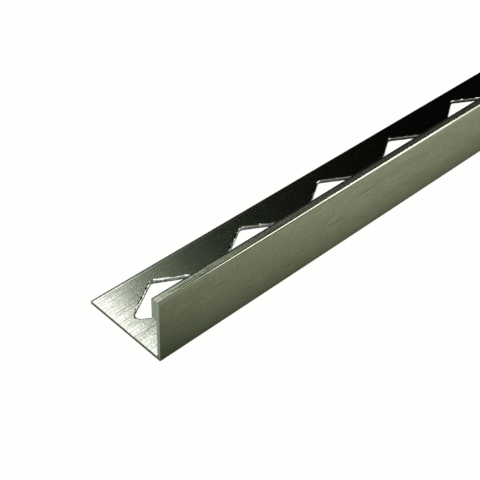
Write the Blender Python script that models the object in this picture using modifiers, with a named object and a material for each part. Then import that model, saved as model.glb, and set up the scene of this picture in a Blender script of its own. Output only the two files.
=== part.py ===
# Straight edge trim for tiling: one extruded aluminium angle in stock length.
# The thin flat leg is bedded in adhesive under the tile and is punched with a row of rounded
# diamond holes. The upright web ends in a thicker head that covers the tile's edge.
# Metres, +Z up, +X along the length. The underside lies on Z = 0 and the leg points to +Y.

import math

import bmesh
import bpy
from mathutils import Vector

# Stock
STOCK_LENGTH = 1.000
TRIM_HEIGHT = 0.0150
LEG_WIDTH = 0.0210

# Walls of the section
LEG_THICKNESS = 0.0008
WEB_THICKNESS = 0.0008
HEAD_WIDTH = 0.0021
HEAD_DEPTH = 0.0048

# Radii that the extrusion die leaves on the section
NOSE_RADIUS = 0.00060
HEAD_INNER_RADIUS = 0.00015
HEAD_LOWER_RADIUS = 0.00020
HEAD_FILLET = 0.00040
ROOT_FILLET = 0.00030
TOE_RADIUS = 0.00015
HEEL_RADIUS = 0.00015

# Row of punched holes along the leg, from the end at -X
HOLE_PITCH = 0.0250
FIRST_HOLE = 0.0125
HOLE_LENGTH = 0.0175
HOLE_WIDTH = 0.0112
HOLE_CORNER_RADIUS = 0.0012
HOLE_SETBACK = 0.0115
PUNCH_OVERSHOOT = 0.0010

# Steps in each rounded corner
DIE_ARC_STEPS = 4
PUNCH_ARC_STEPS = 6

WELD_DISTANCE = 0.000001
SMOOTH_ANGLE = math.radians(30)

# Finish: lengthwise brushed aluminium with a slightly warm grey
ALUMINIUM_COLOUR = (0.56, 0.57, 0.51, 1.0)
ALUMINIUM_ROUGHNESS = 0.30


def clear_scene():
    for obj in list(bpy.data.objects):
        bpy.data.objects.remove(obj, do_unlink=True)


def new_collection(name):
    collection = bpy.data.collections.new(name)
    bpy.context.scene.collection.children.link(collection)
    return collection


def brushed_aluminium():
    material = bpy.data.materials.new("brushed_aluminium")
    material.use_nodes = True
    shader = material.node_tree.nodes["Principled BSDF"]
    shader.inputs["Base Color"].default_value = ALUMINIUM_COLOUR
    shader.inputs["Metallic"].default_value = 1.0
    shader.inputs["Roughness"].default_value = ALUMINIUM_ROUGHNESS
    return material


def rounded_corner(before, corner, after, radius, steps):
    """The arc that rounds a corner, tangent to the sides that come into it and go out of it."""
    to_before = (before - corner).normalized()
    to_after = (after - corner).normalized()
    half_angle = to_before.angle(to_after) / 2
    centre = corner + (to_before + to_after).normalized() * radius / math.sin(half_angle)
    run = radius / math.tan(half_angle)
    first = corner + to_before * run - centre
    last = corner + to_after * run - centre
    start = math.atan2(first.y, first.x)
    sweep = math.remainder(math.atan2(last.y, last.x) - start, 2 * math.pi)
    angles = [start + sweep * step / steps for step in range(steps + 1)]
    return [centre + Vector((math.cos(angle), math.sin(angle))) * radius for angle in angles]


def rounded_outline(corners, steps):
    """A closed outline through (across, up, radius) corners, each rounded by its own radius."""
    points = [Vector(corner[:2]) for corner in corners]
    outline = []
    for index, corner in enumerate(points):
        before = points[index - 1]
        after = points[(index + 1) % len(points)]
        outline += rounded_corner(before, corner, after, corners[index][2], steps)
    return outline


def section_outline():
    """The extruded section: across from the outer face to the leg's free edge, and up."""
    head_bottom = TRIM_HEIGHT - HEAD_DEPTH
    corners = [
        (0.0, 0.0, HEEL_RADIUS),
        (LEG_WIDTH, 0.0, TOE_RADIUS),
        (LEG_WIDTH, LEG_THICKNESS, TOE_RADIUS),
        (WEB_THICKNESS, LEG_THICKNESS, ROOT_FILLET),
        (WEB_THICKNESS, head_bottom, HEAD_FILLET),
        (HEAD_WIDTH, head_bottom, HEAD_LOWER_RADIUS),
        (HEAD_WIDTH, TRIM_HEIGHT, HEAD_INNER_RADIUS),
        (0.0, TRIM_HEIGHT, NOSE_RADIUS),
    ]
    return rounded_outline(corners, DIE_ARC_STEPS)


def punch_outline():
    """A diamond, long along the stock, whose rounded tips reach HOLE_LENGTH and HOLE_WIDTH."""
    core_length = HOLE_LENGTH / 2 - HOLE_CORNER_RADIUS
    core_width = HOLE_WIDTH / 2 - HOLE_CORNER_RADIUS
    core_inset = core_length * core_width / math.hypot(core_length, core_width)
    growth = 1 + HOLE_CORNER_RADIUS / core_inset
    tip = core_length * growth
    apex = core_width * growth
    corners = [
        (tip, 0.0, HOLE_CORNER_RADIUS),
        (0.0, apex, HOLE_CORNER_RADIUS),
        (-tip, 0.0, HOLE_CORNER_RADIUS),
        (0.0, -apex, HOLE_CORNER_RADIUS),
    ]
    return rounded_outline(corners, PUNCH_ARC_STEPS)


def filled_outline(name, outline, thickness):
    """A flat outline as a 2D curve, filled and extruded evenly to both sides of its plane."""
    curve = bpy.data.curves.new(name, "CURVE")
    curve.dimensions = "2D"
    curve.fill_mode = "BOTH"
    curve.extrude = thickness / 2
    spline = curve.splines.new("POLY")
    spline.points.add(len(outline) - 1)
    for point, place in zip(spline.points, outline):
        point.co = (place.x, place.y, 0.0, 1.0)
    spline.use_cyclic_u = True
    return bpy.data.objects.new(name, curve)


def as_mesh(curve_object, collection):
    """The curve's solid as a closed mesh object in the same place, with the curve removed."""
    name = curve_object.name
    collection.objects.link(curve_object)
    bpy.context.view_layer.update()
    evaluated = curve_object.evaluated_get(bpy.context.evaluated_depsgraph_get())
    mesh = bpy.data.meshes.new_from_object(evaluated)
    solid = bmesh.new()
    solid.from_mesh(mesh)
    bmesh.ops.remove_doubles(solid, verts=solid.verts, dist=WELD_DISTANCE)
    bmesh.ops.recalc_face_normals(solid, faces=solid.faces)
    solid.to_mesh(mesh)
    solid.free()
    place = curve_object.matrix_world.copy()
    bpy.data.objects.remove(curve_object, do_unlink=True)
    piece = bpy.data.objects.new(name, mesh)
    piece.matrix_world = place
    collection.objects.link(piece)
    return piece


def extruded_angle(collection):
    """The plain extrusion: the section swept along the whole stock length."""
    profile = filled_outline("edge_trim", section_outline(), STOCK_LENGTH)
    profile.rotation_euler = (math.pi / 2, 0.0, math.pi / 2)
    profile.location = (0.0, -LEG_WIDTH / 2, 0.0)
    return as_mesh(profile, collection)


def hole_count():
    """How many holes fit at HOLE_PITCH, with at least FIRST_HOLE left at the far end."""
    row = STOCK_LENGTH - 2 * FIRST_HOLE
    return math.floor(row / HOLE_PITCH + WELD_DISTANCE) + 1


def hole_punches(collection):
    """The row of punches, each through the leg from below its underside to above its top."""
    depth = LEG_THICKNESS + 2 * PUNCH_OVERSHOOT
    outline = filled_outline("hole_punches", punch_outline(), depth)
    first = FIRST_HOLE - STOCK_LENGTH / 2
    outline.location = (first, HOLE_SETBACK - LEG_WIDTH / 2, LEG_THICKNESS / 2)
    punches = as_mesh(outline, collection)
    row = punches.modifiers.new("row_of_holes", "ARRAY")
    row.count = hole_count()
    row.use_relative_offset = False
    row.use_constant_offset = True
    row.constant_offset_displace = (HOLE_PITCH, 0.0, 0.0)
    row.use_merge_vertices = False
    punches.hide_render = True
    punches.display_type = "WIRE"
    return punches


def punch_leg(trim, punches):
    cut = trim.modifiers.new("punched_holes", "BOOLEAN")
    cut.operation = "DIFFERENCE"
    cut.solver = "EXACT"
    cut.object = punches


def main():
    clear_scene()
    parts = new_collection("tile_edge_trim")
    cutters = new_collection("cutters")
    trim = extruded_angle(parts)
    punch_leg(trim, hole_punches(cutters))
    trim.data.materials.append(brushed_aluminium())
    trim.data.shade_smooth()
    trim.data.set_sharp_from_angle(angle=SMOOTH_ANGLE)


main()
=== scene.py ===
"""Straight edge trim for tiling, dressed for a studio picture.

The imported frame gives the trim's box and body. This script rebuilds its one piece with rolled hole
rims, rounded die corners and sawn ends, gives it brushed, milled and cut metal, and lights it on a
pale light table. Metres, +Z up, +X along the stock, the leg pointing to +Y.
"""
import logging
import math
from dataclasses import dataclass, field
from enum import Enum

import bmesh
import bpy
from mathutils import Matrix, Vector


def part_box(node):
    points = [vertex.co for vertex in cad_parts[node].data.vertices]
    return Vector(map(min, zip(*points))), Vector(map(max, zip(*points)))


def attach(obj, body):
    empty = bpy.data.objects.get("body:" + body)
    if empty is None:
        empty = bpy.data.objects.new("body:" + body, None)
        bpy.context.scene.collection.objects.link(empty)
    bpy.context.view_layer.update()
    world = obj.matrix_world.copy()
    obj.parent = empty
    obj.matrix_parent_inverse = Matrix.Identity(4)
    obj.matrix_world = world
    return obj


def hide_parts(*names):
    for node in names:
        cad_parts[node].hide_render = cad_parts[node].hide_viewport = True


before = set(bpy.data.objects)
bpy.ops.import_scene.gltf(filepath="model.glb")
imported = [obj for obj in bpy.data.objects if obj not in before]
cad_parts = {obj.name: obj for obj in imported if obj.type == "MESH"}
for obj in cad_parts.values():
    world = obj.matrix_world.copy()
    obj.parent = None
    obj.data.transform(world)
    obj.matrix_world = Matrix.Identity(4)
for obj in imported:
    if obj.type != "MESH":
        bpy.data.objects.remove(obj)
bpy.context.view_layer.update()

LOG = logging.getLogger("edge_trim")
NODE = "edge_trim"
BODY = "root"
MM = 0.001

NOISE_MIDDLE = 0.5
NOISE_SWING = 4.0
QUARTER_TURN = 0.25
SHARP_ANGLE = math.radians(50)
FACE_LEAD = 100
COUNT_SLACK = 1e-6

Colour = tuple[float, float, float, float]
Pair = tuple[float, float]
Socket = bpy.types.NodeSocket

SOCKET_KINDS = {"Int": int, "Float": float, "Object": bpy.types.Object, "Material": bpy.types.Material}


def grey(level: float) -> Colour:
    """A neutral grey."""
    return (level, level, level, 1.0)


class Graph:
    """A node tree with short calls that add its nodes and join them."""

    def __init__(self, tree: bpy.types.NodeTree) -> None:
        """Keeps the tree that the calls work on.

        Args:
            tree: The shader, world or geometry tree.
        """
        self.tree = tree

    def put(self, socket: Socket, value: object) -> None:
        """Links a socket to another one, or sets it to a plain value.

        Args:
            socket: The input to fill.
            value: An output socket to link from, or the value to set.
        """
        if isinstance(value, Socket):
            self.tree.links.new(value, socket)
        else:
            socket.default_value = value

    def add(self, kind: str, inputs: dict | None = None, **settings: object) -> bpy.types.Node:
        """Adds one node.

        Args:
            kind: The node's type name.
            inputs: Values or output sockets for its inputs, by name or index.
            settings: Properties of the node.

        Returns:
            The new node.
        """
        node = self.tree.nodes.new(kind)
        for name, value in settings.items():
            setattr(node, name, value)
        for name, value in (inputs or {}).items():
            self.put(node.inputs[name], value)
        return node

    def maths(self, operation: str, *values: object) -> Socket:
        """Adds a Math node and returns its result.

        Args:
            operation: The Math node's operation.
            values: Its inputs in order.

        Returns:
            The result socket.
        """
        return self.add("ShaderNodeMath", dict(enumerate(values)), operation=operation).outputs[0]

    def product(self, first: object, *others: object) -> Socket:
        """Multiplies values. For tests, that is where all of them hold.

        Args:
            first: The first value.
            others: The values that multiply it, in order.

        Returns:
            The result socket.
        """
        for other in others:
            first = self.maths("MULTIPLY", first, other)
        return first

    def mix(self, factor: object, first: object, second: object) -> Socket:
        """Adds a Mix node for plain values and returns its result.

        Args:
            factor: The share of the second value.
            first: The value at 0.
            second: The value at 1.

        Returns:
            The mixed value's socket.
        """
        node = self.add("ShaderNodeMix", {0: factor, 2: first, 3: second}, data_type="FLOAT")
        return node.outputs[0]

    def blend(self, factor: object, first: object, second: object) -> Socket:
        """Adds a colour Mix node and returns its colour.

        Args:
            factor: The share of the second colour.
            first: The colour at 0.
            second: The colour at 1.

        Returns:
            The mixed colour's socket.
        """
        node = self.add("ShaderNodeMix", data_type="RGBA")
        self.put(node.inputs[0], factor)
        self.put(node.inputs[6], first)
        self.put(node.inputs[7], second)
        return node.outputs[2]

    def remap(self, value: object, low: float, high: float, to_low: float, to_high: float,
              shape: str = "LINEAR") -> Socket:
        """Adds a Map Range node and returns its result.

        Args:
            value: What is mapped.
            low: The start of the range that is read.
            high: The end of the range that is read.
            to_low: The result at low.
            to_high: The result at high.
            shape: The interpolation, such as LINEAR or SMOOTHSTEP.

        Returns:
            The result socket.
        """
        node = self.add("ShaderNodeMapRange", {0: value, 1: low, 2: high, 3: to_low, 4: to_high},
                        interpolation_type=shape)
        return node.outputs[0]

    def step(self, value: object, ends: Pair) -> Socket:
        """Adds a soft step.

        Args:
            value: What is read.
            ends: Where the result is 0, and where it is 1.

        Returns:
            The result socket.
        """
        low, high = sorted(ends)
        results = (0.0, 1.0) if ends[0] < ends[1] else (1.0, 0.0)
        return self.remap(value, low, high, *results, "SMOOTHSTEP")

    def window(self, tilt: object, ends: Pair) -> Socket:
        """Adds a soft step over an angle, whose ends are given in degrees."""
        return self.step(tilt, (math.radians(ends[0]), math.radians(ends[1])))


class Direction(Enum):
    """Which way a finish's fine lines run."""

    ALONG = "along the stock"
    DOWN = "down the cut face"


@dataclass(frozen=True)
class MetalFinish:
    """Aluminium with fine lines in one direction.

    The lines vary its colour and roughness, and a shallow bump follows them. Bands are broader
    lines, sized in lines, and grain breaks both up. A brushed finish also spreads its reflections
    across the lines. Peel is the faint unevenness of a rolled or extruded skin that makes its
    reflections waver. Pits are sparse, small and steeper, and glint where a reflection fades.
    Mottle dulls the metal in patches. A range says which of the noise's values are read.
    """

    name: str
    colour: Colour
    dull_colour: Colour
    roughness: float
    roughness_swing: float
    anisotropy: float
    line_length: float
    line_width: float
    line_depth: float
    line_roughness: float = 0.6
    direction: Direction = Direction.ALONG
    contrast: float = 1.0
    streak_spread: float = 0.17
    band_share: float = 0.4
    band_length: float = 3.0
    band_width: float = 5.0
    grain_size: float = 0.3 * MM
    grain_share: float = 0.2
    peel_size: float = 0.8 * MM
    peel_depth: float = 0.0
    peel_roughness: float = 0.6
    pit_size: float = 0.30 * MM
    pit_depth: float = 0.0
    pit_range: Pair = (0.56, 0.74)
    scratch_share: float = 0.0
    scratch_length: float = 9 * MM
    scratch_width: float = 0.22 * MM
    scratch_colour: Colour = (0.30, 0.32, 0.27, 1.0)
    scratch_dullness: float = 0.06
    scratch_level: float = 0.78
    scratch_softness: float = 0.06
    mottle_size: float = 5 * MM
    mottle_share: float = 0.0
    mottle_range: Pair = (0.38, 0.62)

    def material(self) -> bpy.types.Material:
        """Builds the node material.

        Returns:
            The new material.
        """
        material = bpy.data.materials.new(self.name)
        material.use_nodes = True
        graph = Graph(material.node_tree)
        shader = material.node_tree.nodes["Principled BSDF"]
        shader.inputs["Metallic"].default_value = 1.0
        place = graph.add("ShaderNodeTexCoord").outputs["Object"]
        lines = self.lines(graph, place, self.line_length, self.line_width, detail=3.0)
        streak = self.streak(graph, place, lines)
        colour = graph.blend(streak, self.dull_colour, self.colour)
        if self.mottle_share:
            patches = self.noise(graph, place, self.mottle_size, detail=2.0)
            mottle = graph.remap(patches, *self.mottle_range, 0.0, self.mottle_share)
            colour = graph.blend(mottle, colour, self.dull_colour)
        roughness = graph.remap(streak, 0.0, 1.0, self.roughness + self.roughness_swing,
                                self.roughness - self.roughness_swing)
        if self.scratch_share:
            scratch = self.scratches(graph, place)
            colour = graph.blend(scratch, colour, self.scratch_colour)
            dullness = graph.maths("MULTIPLY", scratch, self.scratch_dullness)
            roughness = graph.maths("ADD", roughness, dullness)
        graph.put(shader.inputs["Base Color"], colour)
        graph.put(shader.inputs["Roughness"], roughness)
        graph.put(shader.inputs["Normal"], self.relief(graph, place, lines))
        if self.anisotropy:
            shader.inputs["Anisotropic"].default_value = self.anisotropy
            shader.inputs["Anisotropic Rotation"].default_value = QUARTER_TURN
            along = graph.add("ShaderNodeCombineXYZ", {"X": 1.0, "Y": 0.0, "Z": 0.0})
            graph.put(shader.inputs["Tangent"], along.outputs[0])
        return material

    def streak(self, graph: Graph, place: Socket, lines: Socket) -> Socket:
        """How bright the metal is at a place, from its lines, bands and grain.

        Args:
            graph: The material's tree.
            place: Object coordinates.
            lines: The fine lines.

        Returns:
            0 on dull metal, 1 on bright metal.
        """
        bands = self.lines(graph, place, self.line_length * self.band_length,
                           self.line_width * self.band_width, detail=2.0)
        grain = self.noise(graph, place, self.grain_size, detail=2.0)
        streak = graph.mix(self.band_share, lines, bands)
        streak = graph.mix(self.grain_share, streak, grain)
        spread = self.streak_spread / self.contrast
        return graph.remap(streak, NOISE_MIDDLE - spread, NOISE_MIDDLE + spread, 0.0, 1.0)

    def relief(self, graph: Graph, place: Socket, lines: Socket) -> Socket:
        """The surface's bump: pits, then peel, where the finish has them, and its lines on top.

        Args:
            graph: The material's tree.
            place: Object coordinates.
            lines: The fine lines.

        Returns:
            The bumped normal.
        """
        layers = []
        if self.pit_depth:
            spots = self.noise(graph, place, self.pit_size, detail=1.0)
            layers.append((self.pit_depth, graph.step(spots, self.pit_range)))
        if self.peel_depth:
            peel = self.noise(graph, place, self.peel_size, detail=3.0, roughness=self.peel_roughness)
            layers.append((self.peel_depth, peel))
        layers.append((self.line_depth, lines))
        normal = None
        for depth, height in layers:
            bump = graph.add("ShaderNodeBump", {"Distance": depth, "Height": height})
            if normal is not None:
                graph.put(bump.inputs["Normal"], normal)
            normal = bump.outputs[0]
        return normal

    def noise(self, graph: Graph, place: Socket, size: float, detail: float,
              roughness: float = 0.5) -> Socket:
        """Noise that is the same in every direction.

        Args:
            graph: The material's tree.
            place: Object coordinates.
            size: How far across its patches are.
            detail: The noise's octaves.
            roughness: How strong the finer octaves are.

        Returns:
            The noise value, about 0.5 on average.
        """
        node = graph.add("ShaderNodeTexNoise", {"Vector": place, "Scale": 1 / size, "Detail": detail,
                                                "Roughness": roughness})
        return node.outputs[0]

    def lines(self, graph: Graph, place: Socket, length: float, width: float, detail: float) -> Socket:
        """Noise drawn out into fine lines.

        Args:
            graph: The material's tree.
            place: Object coordinates.
            length: A line's usual length.
            width: A line's usual width.
            detail: The noise's octaves.

        Returns:
            The noise value, about 0.5 on average.
        """
        fine, long = 1 / width, 1 / length
        scale = (long, fine, fine) if self.direction is Direction.ALONG else (fine, fine, long)
        mapping = graph.add("ShaderNodeMapping", {"Vector": place, "Scale": scale})
        noise = graph.add("ShaderNodeTexNoise", {"Vector": mapping.outputs[0], "Scale": 1.0,
                                                 "Detail": detail, "Roughness": self.line_roughness})
        return noise.outputs[0]

    def scratches(self, graph: Graph, place: Socket) -> Socket:
        """Sparse long handling scratches.

        Args:
            graph: The material's tree.
            place: Object coordinates.

        Returns:
            0 on sound metal, up to 1 in a scratch.
        """
        noise = self.lines(graph, place, self.scratch_length, self.scratch_width, detail=1.0)
        edge = self.scratch_level - self.scratch_share
        return graph.remap(noise, edge, edge + self.scratch_softness, 0.0, 1.0)


FACE_FINISH = MetalFinish(
    name="brushed_face", colour=(0.87, 0.90, 0.80, 1.0), dull_colour=(0.655, 0.675, 0.575, 1.0),
    roughness=0.32, roughness_swing=0.05, anisotropy=0.6, line_length=6 * MM,
    line_width=0.20 * MM, line_depth=0.0015 * MM, contrast=2.1, grain_size=0.45 * MM, grain_share=0.45,
    scratch_share=0.098, scratch_length=8 * MM, scratch_width=0.18 * MM,
    scratch_colour=(0.28, 0.26, 0.20, 1.0), mottle_size=3.5 * MM, mottle_share=0.4)
HEAD_FINISH = MetalFinish(
    name="brushed_head", colour=(0.84, 0.89, 0.70, 1.0), dull_colour=(0.18, 0.205, 0.135, 1.0),
    roughness=0.26, roughness_swing=0.05, anisotropy=0.6, line_length=8 * MM,
    line_width=0.40 * MM, line_depth=0.0015 * MM, contrast=2.1, grain_size=0.60 * MM, grain_share=0.25)
RUBBED_FINISH = MetalFinish(
    name="rubbed_edge", colour=(0.95, 0.96, 0.90, 1.0), dull_colour=(0.70, 0.72, 0.62, 1.0),
    roughness=0.12, roughness_swing=0.03, anisotropy=0.3, line_length=4 * MM,
    line_width=0.15 * MM, line_depth=0.001 * MM, contrast=1.2, grain_size=0.5 * MM, grain_share=0.5)
MILL_FINISH = MetalFinish(
    name="mill_leg", colour=(0.95, 0.96, 0.91, 1.0), dull_colour=(0.46, 0.49, 0.42, 1.0),
    roughness=0.09, roughness_swing=0.03, anisotropy=0.5, line_length=6 * MM,
    line_width=0.11 * MM, line_depth=0.001 * MM, contrast=2.3, band_share=0.2, grain_size=0.42 * MM,
    grain_share=0.36, peel_size=0.45 * MM, peel_depth=0.0028 * MM, pit_depth=0.0013 * MM,
    scratch_share=0.232, scratch_length=6 * MM, scratch_width=0.13 * MM,
    scratch_colour=(0.27, 0.29, 0.24, 1.0))
# Painted shade: near-black metal on the strips along the head's inner edge and the leg's free edge stands in
# for the dark lines of shade there.
ARRIS_PAINTED_SHADE = MetalFinish(
    name="dull_arris", colour=(0.09, 0.095, 0.08, 1.0), dull_colour=(0.03, 0.03, 0.025, 1.0),
    roughness=0.25, roughness_swing=0.06, anisotropy=0.0, line_length=2 * MM,
    line_width=0.20 * MM, line_depth=0.002 * MM, contrast=1.5, grain_share=0.5)
CUT_FINISH = MetalFinish(
    name="sawn_end", colour=(0.88, 0.94, 0.86, 1.0), dull_colour=(0.62, 0.67, 0.60, 1.0),
    roughness=0.50, roughness_swing=0.08, anisotropy=0.0, line_length=6 * MM,
    line_width=0.12 * MM, line_depth=0.004 * MM, direction=Direction.DOWN)
SHEAR_FINISH = MetalFinish(
    name="punched_wall", colour=(0.95, 0.97, 0.93, 1.0), dull_colour=(0.08, 0.09, 0.07, 1.0),
    roughness=0.20, roughness_swing=0.08, anisotropy=0.0, line_length=1.5 * MM,
    line_width=0.45 * MM, line_depth=0.020 * MM, direction=Direction.DOWN, contrast=2.0)
# A rougher torn band low on each punched wall, darkened past its own tone with painted shade for the hole's
# lower wall.
TORN_WALL_AND_SHADE = MetalFinish(
    name="torn_wall", colour=(0.34, 0.36, 0.32, 1.0), dull_colour=(0.012, 0.012, 0.011, 1.0),
    roughness=0.50, roughness_swing=0.08, anisotropy=0.0, line_length=0.9 * MM,
    line_width=0.40 * MM, line_depth=0.010 * MM, direction=Direction.DOWN, contrast=2.4, grain_share=0.3)


def rounded_corner(before: Vector, corner: Vector, after: Vector, radius: float,
                   steps: int) -> list[Vector]:
    """The arc that rounds a corner, tangent to the sides that come into it and go out of it.

    Args:
        before: The corner before this one.
        corner: The corner that is rounded.
        after: The corner after this one.
        radius: The arc's radius.
        steps: How many straight steps the arc has.

    Returns:
        The arc's points in order.
    """
    to_before = (before - corner).normalized()
    to_after = (after - corner).normalized()
    half_angle = to_before.angle(to_after) / 2
    centre = corner + (to_before + to_after).normalized() * radius / math.sin(half_angle)
    run = radius / math.tan(half_angle)
    first = corner + to_before * run - centre
    last = corner + to_after * run - centre
    start = math.atan2(first.y, first.x)
    sweep = math.remainder(math.atan2(last.y, last.x) - start, 2 * math.pi)
    angles = [start + sweep * step / steps for step in range(steps + 1)]
    return [centre + Vector((math.cos(angle), math.sin(angle))) * radius for angle in angles]


def rounded_outline(corners: list[tuple[float, float, float]], steps: int) -> list[Vector]:
    """A closed outline whose corners are each rounded by their own radius.

    Args:
        corners: (across, up, radius) of each corner in order. A point of no radius stays as it is.
        steps: How many straight steps each arc has.

    Returns:
        The outline's points in order.
    """
    points = [Vector(corner[:2]) for corner in corners]
    outline = []
    for index, corner in enumerate(points):
        before, after = points[index - 1], points[(index + 1) % len(points)]
        radius = corners[index][2]
        outline += rounded_corner(before, corner, after, radius, steps) if radius else [corner]
    return outline


def link(name: str, data: bpy.types.ID) -> bpy.types.Object:
    """Makes an object and links it into the scene.

    Args:
        name: Its name.
        data: Its mesh, curve, light or camera.

    Returns:
        The linked object.
    """
    obj = bpy.data.objects.new(name, data)
    bpy.context.scene.collection.objects.link(obj)
    return obj


@dataclass(frozen=True)
class Section:
    """The extruded section, across from the outer face to the leg's free edge, and up."""

    width: float
    height: float
    leg_thickness: float = 0.8 * MM
    web_thickness: float = 0.8 * MM
    head_width: float = 2.1 * MM
    head_depth: float = 4.8 * MM
    nose_radius: float = 0.60 * MM
    head_inner_radius: float = 0.15 * MM
    head_lower_radius: float = 0.20 * MM
    head_fillet: float = 0.40 * MM
    root_fillet: float = 0.30 * MM
    toe_radius: float = 0.15 * MM
    heel_radius: float = 0.15 * MM
    head_arris_width: float = 0.25 * MM
    toe_arris_width: float = 0.27 * MM
    crown_width: float = 0.30 * MM
    crown_slope: float = 0.027
    crown_radius: float = 1.5 * MM
    arc_steps: int = 7

    def head_arris(self) -> float:
        """How far across the dark strip of painted shade on the head's inner edge starts."""
        return self.head_width - self.head_inner_radius - self.head_arris_width

    def toe_arris(self) -> float:
        """How far across the dark strip of painted shade on the leg's free edge starts."""
        return self.width - self.toe_radius - self.toe_arris_width

    def outline(self) -> list[Vector]:
        """The section's closed outline.

        The leg's top falls away a little beside its free edge, as the die leaves it.

        Returns:
            Its points in order, as (across, up).
        """
        head_bottom = self.height - self.head_depth
        toe_top = self.leg_thickness - self.crown_slope * self.crown_width
        corners = [
            (0.0, 0.0, self.heel_radius),
            (self.width, 0.0, self.toe_radius),
            (self.width, toe_top, self.toe_radius),
            (self.toe_arris(), toe_top, 0.0),
            (self.toe_arris() - self.crown_width, self.leg_thickness, self.crown_radius),
            (self.web_thickness, self.leg_thickness, self.root_fillet),
            (self.web_thickness, head_bottom, self.head_fillet),
            (self.head_width, head_bottom, self.head_lower_radius),
            (self.head_width, self.height, self.head_inner_radius),
            (self.head_arris(), self.height, 0.0),
            (0.0, self.height, self.nose_radius),
        ]
        return rounded_outline(corners, self.arc_steps)


@dataclass(frozen=True)
class HoleRow:
    """The row of rounded diamond holes that a progressive die punches through the leg."""

    pitch: float = 25 * MM
    first: float = 12.5 * MM
    length: float = 17.5 * MM
    width: float = 11.2 * MM
    corner_radius: float = 1.2 * MM
    setback: float = 11.5 * MM
    rollover: float = 0.62 * MM
    rollover_depth: float = 0.22 * MM
    rollover_angle: float = math.radians(84)
    rollover_steps: int = 7
    breakout: float = 0.05 * MM
    breakout_share: float = 0.05
    torn_share: float = 0.45
    overshoot: float = 0.5 * MM
    corner_steps: int = 8
    side_steps: int = 16

    def count(self, stock_length: float) -> int:
        """How many holes fit in a length of stock."""
        return math.floor((stock_length - 2 * self.first) / self.pitch + COUNT_SLACK) + 1

    def ring(self, grown: float) -> list[Vector]:
        """The hole's outline, grown evenly outwards.

        Args:
            grown: How far outside the sheared hole the ring runs.

        Returns:
            The ring's points, the same number for any growth.
        """
        radius = self.corner_radius + grown
        core_length = self.length / 2 - self.corner_radius
        core_width = self.width / 2 - self.corner_radius
        core_inset = core_length * core_width / math.hypot(core_length, core_width)
        growth = 1 + radius / core_inset
        tip, apex = core_length * growth, core_width * growth
        tips = [(tip, 0.0), (0.0, apex), (-tip, 0.0), (0.0, -apex)]
        arcs = rounded_outline([(*point, radius) for point in tips], self.corner_steps)
        points = []
        for index, point in enumerate(arcs):
            points.append(point)
            if index % (self.corner_steps + 1) == self.corner_steps:
                following = arcs[(index + 1) % len(arcs)]
                shares = [step / self.side_steps for step in range(1, self.side_steps)]
                points += [point.lerp(following, share) for share in shares]
        return points

    def wall_profile(self, thickness: float) -> list[tuple[float, float]]:
        """The punched wall from below the leg to above it.

        The punch enters from the top, so the top rim is rolled over and the lower part tears out
        a little wider.

        Args:
            thickness: The leg's thickness.

        Returns:
            (growth, height) of each ring, upwards.
        """
        full = math.sin(self.rollover_angle)
        rim = []
        for step in range(self.rollover_steps + 1):
            angle = self.rollover_angle * step / self.rollover_steps
            rise = self.rollover_depth * (math.sin(angle) / full - 1)
            rim.append((self.rollover * (1 - math.cos(angle)), thickness + rise))
        torn = [(self.breakout, -self.overshoot), (self.breakout, self.breakout_share * thickness),
                (0.0, self.torn_share * thickness)]
        return torn + rim + [(rim[-1][0], thickness + self.overshoot)]

    def punch(self, thickness: float) -> bpy.types.Object:
        """The solid that one hole removes, standing at the origin.

        Args:
            thickness: The leg's thickness.

        Returns:
            A helper object.
        """
        shape = bmesh.new()
        rings = []
        for growth, height in self.wall_profile(thickness):
            rings.append([shape.verts.new((p.x, p.y, height)) for p in self.ring(growth)])
        for lower, upper in zip(rings, rings[1:]):
            for index, corner in enumerate(lower):
                after = (index + 1) % len(lower)
                shape.faces.new((corner, lower[after], upper[after], upper[index]))
        shape.faces.new(reversed(rings[0]))
        shape.faces.new(rings[-1])
        bmesh.ops.recalc_face_normals(shape, faces=shape.faces)
        mesh = bpy.data.meshes.new("punch")
        shape.to_mesh(mesh)
        shape.free()
        return link("punch", mesh)


def drop(obj: bpy.types.Object) -> None:
    """Deletes a helper object and its data.

    Args:
        obj: The helper.
    """
    data = obj.data
    bpy.data.objects.remove(obj, do_unlink=True)
    if isinstance(data, bpy.types.Mesh):
        bpy.data.meshes.remove(data)
    else:
        bpy.data.curves.remove(data)


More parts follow.
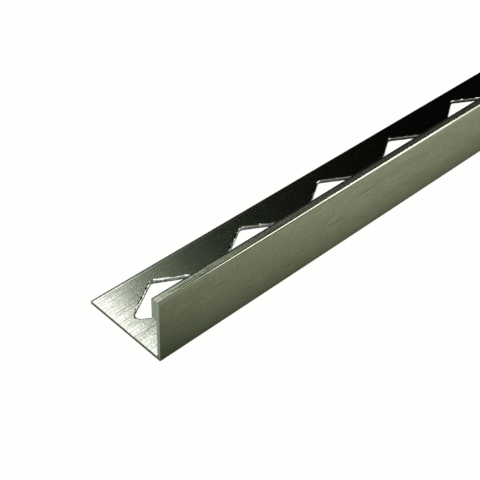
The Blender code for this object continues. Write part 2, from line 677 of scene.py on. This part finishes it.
@dataclass
class EdgeTrim:
    """The one piece: an extruded angle with a thick head and a punched leg.

    The last fields tell its faces apart. A level is how much of a face's direction points up or
    down, and a punched wall starts at a lower level where it faces the near end.
    """

    length: float
    section: Section
    holes: HoleRow = field(default_factory=HoleRow)
    seed: int = 7
    rim_waviness: float = 0.06 * MM
    rim_wavelength: float = 1.1 * MM
    end_bevel: float = 0.06 * MM
    bevel_steps: int = 2
    bevel_roundness: float = 0.6
    end_tolerance: float = 0.001 * MM
    face_slack: float = 0.05 * MM
    end_slack: float = 0.01 * MM
    end_facing: float = 0.99
    top_level: float = 0.2
    nose_level: float = 0.4
    rim_level: float = 0.985
    wall_levels: Pair = (0.60, 0.90)
    wall_turn: Pair = (-0.02, 0.02)

    def build(self) -> bpy.types.Object:
        """Builds and dresses the trim.

        Returns:
            The finished piece, at the origin.
        """
        profile = self.profile()
        punch = self.holes.punch(self.section.leg_thickness)
        blank = link("trim_profile", bpy.data.meshes.new("blank"))
        values = {
            "Section": profile,
            "Punch": punch,
            "Stock Length": self.length,
            "Hole Pitch": self.holes.pitch,
            "First Hole": self.holes.first,
            "Hole Count": self.holes.count(self.length),
            "Hole Across": self.holes.setback - self.section.width / 2,
            "Hole Reach": self.holes.width / 2 + self.holes.rollover,
            "Torn Top": self.section.leg_thickness * self.holes.torn_share,
            "Head Top": self.section.height,
            "Head Depth": self.section.head_depth,
            "Nose Reach": self.section.nose_radius,
            "Outer Face": -self.section.width / 2,
            "Toe Arris": self.section.toe_arris() - self.section.width / 2,
            "Head Arris": self.section.head_arris() - self.section.width / 2,
            "Rim Waviness": self.rim_waviness,
            "Seed": self.seed,
            "Face Finish": FACE_FINISH.material(),
            "Head Finish": HEAD_FINISH.material(),
            "Rubbed Finish": RUBBED_FINISH.material(),
            "Mill Finish": MILL_FINISH.material(),
            "Arris Finish": ARRIS_PAINTED_SHADE.material(),
            "Cut Finish": CUT_FINISH.material(),
            "Punched Finish": SHEAR_FINISH.material(),
            "Torn Finish": TORN_WALL_AND_SHADE.material(),
        }
        tree, sockets = self.tree(values)
        modifier = blank.modifiers.new("punched_extrusion", "NODES")
        modifier.node_group = tree
        for name, value in values.items():
            modifier[sockets[name]] = value
        mesh = evaluated_mesh(blank, "trim_profile")
        blank.modifiers.clear()
        for spare in (profile, punch, blank):
            drop(spare)
        piece = link("trim_profile", mesh)
        self.bevel_ends(mesh)
        soften_normals(piece)
        return piece

    def profile(self) -> bpy.types.Object:
        """The section as a closed curve that the tree sweeps.

        Returns:
            A helper object, in the plane of its own X and Y.
        """
        curve = bpy.data.curves.new("section", "CURVE")
        curve.dimensions = "3D"
        outline = self.section.outline()
        spline = curve.splines.new("POLY")
        spline.points.add(len(outline) - 1)
        for point, place in zip(spline.points, outline):
            point.co = (place.x - self.section.width / 2, place.y, 0.0, 1.0)
        spline.use_cyclic_u = True
        return link("section", curve)

    def tree(self, values: dict[str, object]) -> tuple[bpy.types.NodeTree, dict[str, str]]:
        """The node tree that sweeps the section, punches the holes and gives each face its finish.

        Args:
            values: What its inputs are to be given, by their names.

        Returns:
            The tree, and each input's identifier by its name.
        """
        tree = bpy.data.node_groups.new("punched_extrusion", "GeometryNodeTree")
        tree.interface.new_socket(name="Geometry", in_out="OUTPUT", socket_type="NodeSocketGeometry")
        sockets = {}
        for name, value in values.items():
            kind = next(kind for kind, python_type in SOCKET_KINDS.items() if isinstance(value, python_type))
            socket = tree.interface.new_socket(name=name, in_out="INPUT", socket_type=f"NodeSocket{kind}")
            sockets[name] = socket.identifier
        graph = Graph(tree)
        given = graph.add("NodeGroupInput").outputs
        bar = self.swept_bar(graph, given)
        punches = self.punches(graph, given)
        cut = graph.add("GeometryNodeMeshBoolean", {"Mesh 1": bar}, operation="DIFFERENCE", solver="EXACT")
        graph.put(cut.inputs["Mesh 2"], punches)
        solid = graph.add("GeometryNodeRealizeInstances", {"Geometry": cut.outputs["Mesh"]}).outputs[0]
        dressed = self.finishes(graph, given, solid)
        graph.add("NodeGroupOutput", {"Geometry": dressed})
        return tree, sockets

    def swept_bar(self, graph: Graph, given: bpy.types.bpy_prop_collection) -> Socket:
        """The plain extrusion, swept along X.

        Args:
            graph: The tree.
            given: The tree's inputs.

        Returns:
            The solid's geometry.
        """
        half = graph.maths("MULTIPLY", given["Stock Length"], 0.5)
        start = graph.add("ShaderNodeCombineXYZ", {"Z": graph.maths("MULTIPLY", half, -1.0)})
        end = graph.add("ShaderNodeCombineXYZ", {"Z": half})
        path = graph.add("GeometryNodeCurvePrimitiveLine", {"Start": start.outputs[0], "End": end.outputs[0]})
        section = graph.add("GeometryNodeObjectInfo", {"Object": given["Section"]})
        sweep = graph.add("GeometryNodeCurveToMesh", {"Curve": path.outputs[0], "Fill Caps": True,
                                                      "Profile Curve": section.outputs["Geometry"]})
        laid = graph.add("GeometryNodeTransform", {"Geometry": sweep.outputs[0],
                                                   "Rotation": (math.pi / 2, 0.0, math.pi / 2)})
        return laid.outputs[0]

    def punches(self, graph: Graph, given: bpy.types.bpy_prop_collection) -> Socket:
        """The row of punches, each rim a little uneven in its own way.

        Args:
            graph: The tree.
            given: The tree's inputs.

        Returns:
            The punches' realised geometry.
        """
        half = graph.maths("MULTIPLY", given["Stock Length"], 0.5)
        first = graph.maths("SUBTRACT", given["First Hole"], half)
        start = graph.add("ShaderNodeCombineXYZ", {"X": first, "Y": given["Hole Across"]})
        step = graph.add("ShaderNodeCombineXYZ", {"X": given["Hole Pitch"]})
        row = graph.add("GeometryNodeMeshLine", {"Count": given["Hole Count"], "Offset": step.outputs[0],
                                                 "Start Location": start.outputs[0]})
        punch = graph.add("GeometryNodeObjectInfo", {"Object": given["Punch"]})
        placed = graph.add("GeometryNodeInstanceOnPoints", {"Points": row.outputs[0],
                                                            "Instance": punch.outputs["Geometry"]})
        solid = graph.add("GeometryNodeRealizeInstances", {"Geometry": placed.outputs[0]})
        noise = graph.add("ShaderNodeTexNoise", {"Scale": 1 / self.rim_wavelength, "Detail": 1.0,
                                                 "W": given["Seed"]}, noise_dimensions="4D")
        centre = (NOISE_MIDDLE, NOISE_MIDDLE, NOISE_MIDDLE)
        sway = graph.add("ShaderNodeVectorMath", {0: noise.outputs["Color"], 1: centre}, operation="SUBTRACT")
        sway = graph.add("ShaderNodeVectorMath", {0: sway.outputs[0]}, operation="SCALE")
        graph.put(sway.inputs["Scale"], graph.maths("MULTIPLY", given["Rim Waviness"], NOISE_SWING))
        moved = graph.add("GeometryNodeSetPosition", {"Geometry": solid.outputs[0],
                                                      "Offset": sway.outputs[0]})
        return moved.outputs[0]

    def finishes(self, graph: Graph, given: bpy.types.bpy_prop_collection, solid: Socket) -> Socket:
        """Gives each face its finish by where it lies and the way it faces; the arris strips and the torn
        walls also get painted shade.

        Args:
            graph: The tree.
            given: The tree's inputs.
            solid: The punched solid.

        Returns:
            The dressed geometry.
        """
        position = graph.add("GeometryNodeInputPosition").outputs[0]
        place = graph.add("ShaderNodeSeparateXYZ", {0: position}).outputs
        normal = graph.add("GeometryNodeInputNormal").outputs[0]
        facing = graph.add("ShaderNodeSeparateXYZ", {0: normal}).outputs
        outer_limit = graph.maths("ADD", given["Outer Face"], self.face_slack)
        on_outer = graph.maths("LESS_THAN", place["Y"], outer_limit)
        head_bottom = graph.maths("SUBTRACT", given["Head Top"], given["Head Depth"])
        head_limit = graph.maths("SUBTRACT", head_bottom, self.face_slack)
        on_face = graph.maths("MAXIMUM", on_outer, graph.maths("GREATER_THAN", place["Z"], head_limit))
        upward = graph.maths("GREATER_THAN", facing["Z"], self.top_level)
        top_limit = graph.maths("SUBTRACT", given["Head Top"], self.face_slack)
        above = graph.maths("GREATER_THAN", place["Z"], top_limit)
        on_top = graph.product(upward, above)
        nose_low = graph.maths("SUBTRACT", given["Head Top"], given["Nose Reach"])
        nose_in = graph.maths("ADD", given["Outer Face"], given["Nose Reach"])
        on_nose = graph.product(graph.maths("GREATER_THAN", place["Z"], nose_low),
                                graph.maths("LESS_THAN", place["Y"], nose_in),
                                graph.maths("GREATER_THAN", facing["Z"], self.nose_level))
        off_row = graph.maths("ABSOLUTE", graph.maths("SUBTRACT", place["Y"], given["Hole Across"]))
        near_row = graph.maths("LESS_THAN", off_row, given["Hole Reach"])
        level = graph.maths("ABSOLUTE", facing["Z"])
        wall_level = graph.remap(facing["X"], *self.wall_turn, *self.wall_levels)
        in_hole = graph.product(near_row, graph.maths("LESS_THAN", level, wall_level))
        on_rim = graph.product(near_row, graph.maths("LESS_THAN", level, self.rim_level),
                               graph.maths("LESS_THAN", facing["X"], 0.0))
        on_rubbed = graph.maths("MAXIMUM", on_nose, on_rim)
        # The lower, torn part of each punched wall, which also gets painted shade.
        torn = graph.product(in_hole, graph.maths("LESS_THAN", place["Z"], given["Torn Top"]))
        half = graph.maths("MULTIPLY", given["Stock Length"], 0.5)
        end_limit = graph.maths("SUBTRACT", half, self.end_slack)
        far_out = graph.maths("GREATER_THAN", graph.maths("ABSOLUTE", place["X"]), end_limit)
        square = graph.maths("GREATER_THAN", graph.maths("ABSOLUTE", facing["X"]), self.end_facing)
        on_end = graph.product(square, far_out)
        # The arris strips, where the near-black painted shade goes.
        toe_arris = graph.maths("GREATER_THAN", place["Y"], given["Toe Arris"])
        head_arris = graph.product(graph.maths("GREATER_THAN", place["Y"], given["Head Arris"]), above)
        on_arris_painted_shade = graph.product(graph.maths("MAXIMUM", toe_arris, head_arris), upward)
        for finish, chosen in (("Mill Finish", True), ("Face Finish", on_face), ("Head Finish", on_top),
                               ("Rubbed Finish", on_rubbed), ("Arris Finish", on_arris_painted_shade),
                               ("Punched Finish", in_hole), ("Torn Finish", torn), ("Cut Finish", on_end)):
            node = graph.add("GeometryNodeSetMaterial", {"Geometry": solid, "Selection": chosen})
            graph.put(node.inputs["Material"], given[finish])
            solid = node.outputs[0]
        return solid

    def bevel_ends(self, mesh: bpy.types.Mesh) -> None:
        """Breaks the sharp edges that the saw leaves round both ends.

        Args:
            mesh: The trim's mesh, which is changed.
        """
        limit = self.length / 2 - self.end_tolerance
        shape = bmesh.new()
        shape.from_mesh(mesh)
        ends = [face for face in shape.faces if all(abs(v.co.x) > limit for v in face.verts)]
        edges = {edge for face in ends for edge in face.edges if len(edge.link_faces) == 2
                 and not all(other in ends for other in edge.link_faces)}
        bmesh.ops.bevel(shape, geom=list(edges), offset=self.end_bevel, affect="EDGES",
                        segments=self.bevel_steps, profile=self.bevel_roundness, clamp_overlap=True)
        shape.to_mesh(mesh)
        shape.free()


def evaluated_mesh(obj: bpy.types.Object, name: str) -> bpy.types.Mesh:
    """The object's evaluated geometry as a plain mesh.

    Args:
        obj: The object with its modifiers.
        name: The new mesh's name.

    Returns:
        The new mesh.
    """
    bpy.context.view_layer.update()
    graph = bpy.context.evaluated_depsgraph_get()
    mesh = bpy.data.meshes.new_from_object(obj.evaluated_get(graph), depsgraph=graph)
    mesh.name = name
    return mesh


def soften_normals(piece: bpy.types.Object) -> None:
    """Shades the piece smooth, with its flats kept flat by weighting normals with face area.

    Args:
        piece: The piece, whose mesh is replaced.
    """
    piece.data.shade_smooth()
    piece.data.set_sharp_from_angle(angle=SHARP_ANGLE)
    weighting = piece.modifiers.new("flat_faces_lead", "WEIGHTED_NORMAL")
    weighting.keep_sharp = True
    weighting.weight = FACE_LEAD
    mesh = evaluated_mesh(piece, piece.name)
    piece.modifiers.clear()
    rough = piece.data
    piece.data = mesh
    bpy.data.meshes.remove(rough)


@dataclass(frozen=True)
class Panel:
    """A wide soft panel towards -X, which the metal mirrors.

    Its light goes by direction. Across is a direction's share along X, and tilt is its angle round
    the stock, in degrees from +Y over the top. A pair gives where a step starts and ends. The panel
    ends along a bent line, given by its place at no bend and by (tilt, slope) of each bend. Past
    that line its light fades, first fast and white, then slowly and greener, with a faint patch on
    the way. Away from the line the panel is dimmer, apart from a narrow lamp for the hole rims.
    """

    bottom: Pair = (24, 34)
    top: Pair = (150, 130)
    rise: Pair = (0.02, 0.27)
    side_level: float = 0.35
    edge: float = 0.402
    low_bend: Pair = (49, -0.64)
    high_bends: tuple[Pair, ...] = ((50, 0.28), (61, -0.85))
    edge_width: float = 0.038
    glow_level: float = 0.64
    glow_fade: float = 28.0
    tail_level: float = 0.018
    tail_fade: float = 10.0
    tail_end: Pair = (0.22, 0.28)
    patch_level: float = 0.65
    patch_start: Pair = (0.056, 0.066)
    patch_end: Pair = (0.092, 0.076)
    patch_tilt: Pair = (50.9, 50.4)
    tint_turn: Pair = (0.012, 0.045)
    near_tint: Colour = (1.0, 1.0, 0.96, 1.0)
    far_tint: Colour = (0.77, 1.0, 0.63, 1.0)
    plain_light: Colour = (0.80, 0.80, 0.78, 1.0)
    bright_light: Colour = (1.85, 1.85, 1.82, 1.0)
    bright_rise: Pair = (0.28, 0.385)
    lamp_start: Pair = (70, 75)
    lamp_end: Pair = (89, 84)
    lamp_rise: Pair = (0.13, 0.17)

    def light(self, graph: Graph, across: Socket, tilt: Socket, dim: Socket) -> Socket:
        """The panel's light.

        Args:
            graph: The world's tree.
            across: The direction's share along X.
            tilt: Its angle in radians.
            dim: The room's own colour, beyond the panel.

        Returns:
            The colour socket.
        """
        past = self.past_edge(graph, across, tilt)
        tint = graph.blend(graph.remap(past, *self.tint_turn, 0.0, 1.0), self.near_tint, self.far_tint)
        soft = graph.blend(self.glow(graph, past, tilt), dim, tint)
        lamp = graph.product(graph.window(tilt, self.lamp_start), graph.window(tilt, self.lamp_end),
                             graph.step(across, self.lamp_rise))
        bright = graph.maths("MAXIMUM", lamp, graph.step(across, self.bright_rise))
        full = graph.blend(bright, self.plain_light, self.bright_light)
        return graph.blend(graph.step(past, (self.edge_width, 0.0)), soft, full)

    def past_edge(self, graph: Graph, across: Socket, tilt: Socket) -> Socket:
        """How far past the panel's bent edge a direction is.

        Args:
            graph: The world's tree.
            across: The direction's share along X.
            tilt: Its angle in radians.

        Returns:
            The distance as a share along X, or 0 on the panel.
        """
        edge = self.edge
        bends = [("MINIMUM", self.low_bend)] + [("MAXIMUM", bend) for bend in self.high_bends]
        for side, (angle, slope) in bends:
            off = graph.maths(side, graph.maths("SUBTRACT", tilt, math.radians(angle)), 0.0)
            edge = graph.maths("ADD", edge, graph.maths("MULTIPLY", off, slope))
        return graph.maths("MAXIMUM", graph.maths("SUBTRACT", across, edge), 0.0)

    def glow(self, graph: Graph, past: Socket, tilt: Socket) -> Socket:
        """The light that is left past the panel's edge.

        Args:
            graph: The world's tree.
            past: How far past the edge the direction is.
            tilt: Its angle in radians.

        Returns:
            The share of the panel's light.
        """
        falls = []
        for level, fade in ((self.glow_level, self.glow_fade), (self.tail_level, self.tail_fade)):
            fall = graph.maths("EXPONENT", graph.maths("MULTIPLY", past, -fade))
            falls.append(graph.maths("MULTIPLY", fall, level))
        glow = graph.product(graph.maths("ADD", *falls), graph.remap(past, *self.tail_end, 1.0, 0.0))
        patch = graph.remap(past, *self.patch_start, 0.0, self.patch_level, "SMOOTHSTEP")
        patch = graph.product(patch, graph.step(past, self.patch_end), graph.window(tilt, self.patch_tilt))
        return graph.product(glow, graph.maths("ADD", patch, 1.0))


@dataclass(frozen=True)
class Room:
    """The dim room round the trim, with its panel and a bright strip that lights the rounded nose.

    Its light goes by direction, as the panel's does. The strip hangs beyond the outer face.
    """

    panel: Panel = Panel()
    dark: Colour = (0.0012, 0.0015, 0.001, 1.0)
    back_tilt: Pair = (72, 100)
    wall_turn: Pair = (0.485, 0.54)
    near_wall: Colour = (0.195, 0.21, 0.16, 1.0)
    far_wall: Colour = (0.07, 0.085, 0.06, 1.0)
    low_tilt: Pair = (135, 160)
    low_rise: Pair = (0.60, 0.68)
    low_wall: Colour = (0.25, 0.27, 0.22, 1.0)
    strip_start: Pair = (93, 101)
    strip_end: Pair = (138, 126)
    strip_rise: Pair = (0.492, 0.532)
    strip_turn: Pair = (0.545, 0.60)
    near_strip: Colour = (1.55, 1.57, 1.35, 1.0)
    far_strip: Colour = (1.25, 1.28, 1.06, 1.0)

    def build(self) -> None:
        """Lights the world with the room, and gives the camera a pale backdrop."""
        world = bpy.data.worlds.new("studio")
        world.use_nodes = True
        bpy.context.scene.world = world
        graph = Graph(world.node_tree)
        way = graph.add("ShaderNodeTexCoord").outputs["Generated"]
        parts = graph.add("ShaderNodeSeparateXYZ", {0: way}).outputs
        across = parts["X"]
        tilt = graph.maths("ARCTAN2", parts["Z"], parts["Y"])
        ahead = graph.step(across, self.panel.rise)
        fill = graph.maths("MAXIMUM", graph.window(tilt, self.back_tilt), graph.maths("SUBTRACT", 1.0, ahead))
        room = graph.blend(fill, self.dark, self.walls(graph, across, tilt))
        lit = self.panel.light(graph, across, tilt, room)
        span = graph.product(graph.window(tilt, self.panel.bottom), graph.window(tilt, self.panel.top))
        room = graph.blend(span, room, graph.blend(ahead, grey(self.panel.side_level), lit))
        strip = graph.product(graph.window(tilt, self.strip_start), graph.window(tilt, self.strip_end),
                              graph.step(across, self.strip_rise))
        turn = graph.remap(across, *self.strip_turn, 0.0, 1.0)
        room = graph.blend(strip, room, graph.blend(turn, self.near_strip, self.far_strip))
        sight = graph.add("ShaderNodeLightPath").outputs["Is Camera Ray"]
        background = world.node_tree.nodes["Background"]
        graph.put(background.inputs["Color"], graph.blend(sight, room, grey(1.0)))

    def walls(self, graph: Graph, across: Socket, tilt: Socket) -> Socket:
        """The walls' own colour, darker towards +X and lighter again low down there.

        Args:
            graph: The world's tree.
            across: The direction's share along X.
            tilt: Its angle in radians.

        Returns:
            The colour socket.
        """
        walls = graph.blend(graph.remap(across, *self.wall_turn, 0.0, 1.0), self.near_wall, self.far_wall)
        low = graph.product(graph.window(tilt, self.low_tilt), graph.remap(across, *self.low_rise, 0.0, 1.0))
        return graph.blend(low, walls, self.low_wall)


def glowing(name: str) -> tuple[bpy.types.Material, bpy.types.Node]:
    """A material that reflects nothing and only glows.

    Args:
        name: Its name.

    Returns:
        The material, and its shader, whose emission is still to be set.
    """
    material = bpy.data.materials.new(name)
    material.use_nodes = True
    shader = material.node_tree.nodes["Principled BSDF"]
    shader.inputs["Base Color"].default_value = grey(0.0)
    shader.inputs["Specular IOR Level"].default_value = 0.0
    return material, shader


@dataclass(frozen=True)
class GreyTable:
    """The table that only the metal mirrors. It glows with painted light, dimmer with painted shade
    where the trim would keep the light off it.

    It brightens along the trim from the near end. Contact is a dark line of painted shadow beside the
    trim, beyond is what lies past the near end, and under is what the trim covers.
    """

    near_level: float = 0.186
    far_level: float = 0.36
    gradient: float = 62 * MM
    end_dip: float = 0.74
    end_reach: float = 16 * MM
    shade_depth: float = 0.71
    shade_reach: float = 9 * MM
    contact_level: float = 0.40
    contact_reach: float = 0.30 * MM
    beyond_level: float = 0.33
    beyond_dip: float = 0.55
    beyond_reach: float = 1.2 * MM
    beyond_blend: float = 1 * MM
    under_level: float = 0.42
    under_end_level: float = 0.05
    under_fade: Pair = (20 * MM, 80 * MM)
    under_edge: float = 0.01 * MM
    near_tint: Colour = (0.93, 1.0, 0.69, 1.0)
    far_tint: Colour = (1.0, 0.99, 0.765, 1.0)
    near_shade_tint: Colour = (0.84, 1.0, 0.60, 1.0)
    far_shade_tint: Colour = (0.90, 0.99, 0.66, 1.0)
    under_tint: Colour = (0.94, 1.0, 0.96, 1.0)
    beyond_tint: Colour = (0.95, 1.0, 0.88, 1.0)
    beyond_tint_blend: float = 3 * MM

    def material(self, corner: Vector) -> bpy.types.Material:
        """Builds the table's material.

        Args:
            corner: The near outer corner of the trim, which is centred on the origin.

        Returns:
            The new material.
        """
        material, shader = glowing("grey_table")
        graph = Graph(material.node_tree)
        place = graph.add("ShaderNodeTexCoord").outputs["Object"]
        along = graph.maths("SUBTRACT", graph.add("ShaderNodeSeparateXYZ", {0: place}).outputs["X"], corner.x)
        away = self.away(graph, place, corner)
        shade = graph.maths("EXPONENT", graph.maths("DIVIDE", away, -self.shade_reach))
        covered = graph.remap(away, 0.0, self.under_edge, 1.0, 0.0)
        graph.put(shader.inputs["Emission Color"], self.tint(graph, along, shade, covered))
        graph.put(shader.inputs["Emission Strength"], self.level(graph, along, away, shade, covered))
        return material

    def away(self, graph: Graph, place: Socket, corner: Vector) -> Socket:
        """How far from the trim's outline a place on the table is.

        Args:
            graph: The material's tree.
            place: Object coordinates.
            corner: The trim's near outer corner.

        Returns:
            The distance, 0 under the trim.
        """
        half = Vector((abs(corner.x), abs(corner.y), 0.0))
        size = graph.add("ShaderNodeVectorMath", {0: place}, operation="ABSOLUTE")
        past = graph.add("ShaderNodeVectorMath", {0: size.outputs[0], 1: half}, operation="SUBTRACT")
        past = graph.add("ShaderNodeVectorMath", {0: past.outputs[0], 1: (0.0, 0.0, 0.0)},
                         operation="MAXIMUM")
        return graph.add("ShaderNodeVectorMath", {0: past.outputs[0]}, operation="LENGTH").outputs["Value"]

    def level(self, graph: Graph, along: Socket, away: Socket, shade: Socket, covered: Socket) -> Socket:
        """How bright the table's painted glow is.

        Args:
            graph: The material's tree.
            along: The distance from the trim's near end, towards +X.
            away: The distance from the trim's outline.
            shade: 1 at the trim, falling off away from it.
            covered: 1 under the trim.

        Returns:
            The level.
        """
        gradient = graph.remap(along, 0.0, self.gradient, self.near_level, self.far_level)
        dip = graph.remap(along, 0.0, self.end_reach, self.end_dip, 1.0, "SMOOTHSTEP")
        clear = graph.maths("SUBTRACT", 1.0, graph.maths("MULTIPLY", shade, self.shade_depth))
        contact = graph.remap(away, 0.0, self.contact_reach, self.contact_level, 1.0)
        level = graph.product(gradient, dip, clear, contact)
        close = graph.maths("EXPONENT", graph.maths("DIVIDE", away, -self.beyond_reach))
        beyond = graph.remap(close, 0.0, 1.0, self.beyond_level, self.beyond_level * self.beyond_dip)
        level = graph.mix(graph.remap(along, -self.beyond_blend, 0.0, 1.0, 0.0), level, beyond)
        under = graph.remap(along, *self.under_fade, self.under_level, self.under_end_level)
        return graph.mix(covered, level, under)

    def tint(self, graph: Graph, along: Socket, shade: Socket, covered: Socket) -> Socket:
        """The table's colour, greener where it is shaded.

        Args:
            graph: The material's tree.
            along: The distance from the trim's near end, towards +X.
            shade: 1 at the trim, falling off away from it.
            covered: 1 under the trim.

        Returns:
            The colour socket.
        """
        far = graph.remap(along, 0.0, self.gradient, 0.0, 1.0)
        clear = graph.blend(far, self.near_tint, self.far_tint)
        shaded = graph.blend(far, self.near_shade_tint, self.far_shade_tint)
        tint = graph.blend(covered, graph.blend(shade, clear, shaded), self.under_tint)
        beyond = graph.remap(along, -self.beyond_tint_blend, 0.0, 1.0, 0.0)
        return graph.blend(beyond, tint, self.beyond_tint)


@dataclass(frozen=True)
class Lamp:
    """A soft rectangular lamp, placed from the middle of the trim's near end and facing it."""

    name: str
    place: tuple[float, float, float]
    size: Pair
    power: float

    def hang(self, near: Vector) -> None:
        """Hangs the lamp.

        Args:
            near: The middle of the trim's near end.
        """
        data = bpy.data.lights.new(self.name, "AREA")
        data.shape = "RECTANGLE"
        data.size, data.size_y = self.size
        data.energy = self.power
        lamp = link(self.name, data)
        place = near + Vector(self.place)
        turn = (near - place).to_track_quat("-Z", "Y").to_matrix()
        lamp.matrix_world = Matrix.Translation(place) @ turn.to_4x4()
        lamp.visible_camera = False


KEY_LAMP = Lamp("key", place=(1.60, -1.00, 1.10), size=(0.5, 0.8), power=0.6)
KICKER_LAMP = Lamp("kicker", place=(1.36, 0.20, 1.44), size=(0.25, 0.35), power=1.0)


@dataclass
class Studio:
    """The light table, the grey table under it, the room, the lamps and the camera.

    The camera's place is an offset from the trim's near outer corner, and its angles are degrees.
    """

    near_corner: Vector
    room: Room = Room()
    grey_table: GreyTable = GreyTable()
    lamps: tuple[Lamp, ...] = (KEY_LAMP, KICKER_LAMP)
    floor_size: float = 12.0
    table_gap: float = 0.02 * MM
    table_white: Colour = (0.992, 1.0, 0.984, 1.0)
    camera_offset: tuple[float, float, float] = (-0.08391, -0.10168, 0.14386)
    camera_elevation: float = 40.752
    camera_azimuth: float = 45.603
    camera_roll: float = 2.405
    focal_pixels: float = 1031.6
    image_pixels: float = 480.0
    sensor: float = 36.0
    clip_near: float = 0.005
    clip_far: float = 50.0

    def build(self) -> None:
        """Builds the camera, the tables, the room and the lamps."""
        self.camera()
        self.floor()
        self.room.build()
        near = Vector((self.near_corner.x, 0.0, 0.0))
        for lamp in self.lamps:
            lamp.hang(near)
        scene = bpy.context.scene
        scene.view_settings.view_transform = "Standard"
        scene.view_settings.look = "None"

    def camera(self) -> None:
        """Places the camera at the photograph's angle, with no shift and no depth of field."""
        data = bpy.data.cameras.new("camera")
        data.sensor_width = self.sensor
        data.lens = self.sensor * self.focal_pixels / self.image_pixels
        data.clip_start, data.clip_end = self.clip_near, self.clip_far
        camera = link("camera", data)
        elevation, azimuth = math.radians(self.camera_elevation), math.radians(self.camera_azimuth)
        flat = math.cos(elevation)
        forward = Vector((math.sin(azimuth) * flat, math.cos(azimuth) * flat, -math.sin(elevation)))
        turn = forward.to_track_quat("-Z", "Y").to_matrix()
        roll = Matrix.Rotation(math.radians(self.camera_roll), 3, "Z")
        place = self.near_corner + Vector(self.camera_offset)
        camera.matrix_world = Matrix.Translation(place) @ (turn @ roll).to_4x4()
        bpy.context.scene.camera = camera

    def floor(self) -> None:
        """The pale light table that the camera sees, and the grey table that the metal mirrors, whose glow is
        painted light and shade.
        """
        pale, shader = glowing("light_table")
        shader.inputs["Emission Color"].default_value = self.table_white
        shader.inputs["Emission Strength"].default_value = 1.0
        table = self.plane("light_table", 0.0, pale)
        table.visible_glossy = False
        table.visible_diffuse = False
        table.visible_shadow = False
        # The grey table glows with painted light and a painted shadow round the trim, seen only in the
        # metal's reflections.
        mirrored = self.plane("grey_table", -self.table_gap, self.grey_table.material(self.near_corner))
        mirrored.visible_camera = False
        mirrored.visible_shadow = False

    def plane(self, name: str, height: float, material: bpy.types.Material) -> bpy.types.Object:
        """A level square under the part.

        Args:
            name: Its name.
            height: Its height.
            material: Its material.

        Returns:
            The linked object.
        """
        shape = bmesh.new()
        bmesh.ops.create_grid(shape, x_segments=1, y_segments=1, size=self.floor_size / 2)
        mesh = bpy.data.meshes.new(name)
        shape.to_mesh(mesh)
        shape.free()
        mesh.materials.append(material)
        plane = link(name, mesh)
        plane.location.z = height
        return plane


def main() -> None:
    """Builds the trim and the studio."""
    logging.basicConfig(level=logging.INFO, format="%(name)s: %(message)s")
    low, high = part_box(NODE)
    section = Section(width=high[1] - low[1], height=high[2] - low[2])
    trim = EdgeTrim(length=high[0] - low[0], section=section)
    piece = trim.build()
    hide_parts(NODE)
    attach(piece, BODY)
    LOG.info("%s: %d faces, %d finishes", piece.name, len(piece.data.polygons), len(piece.data.materials))
    studio = Studio(near_corner=Vector((low[0], low[1], 0.0)))
    studio.build()


if __name__ == "__main__":
    main()
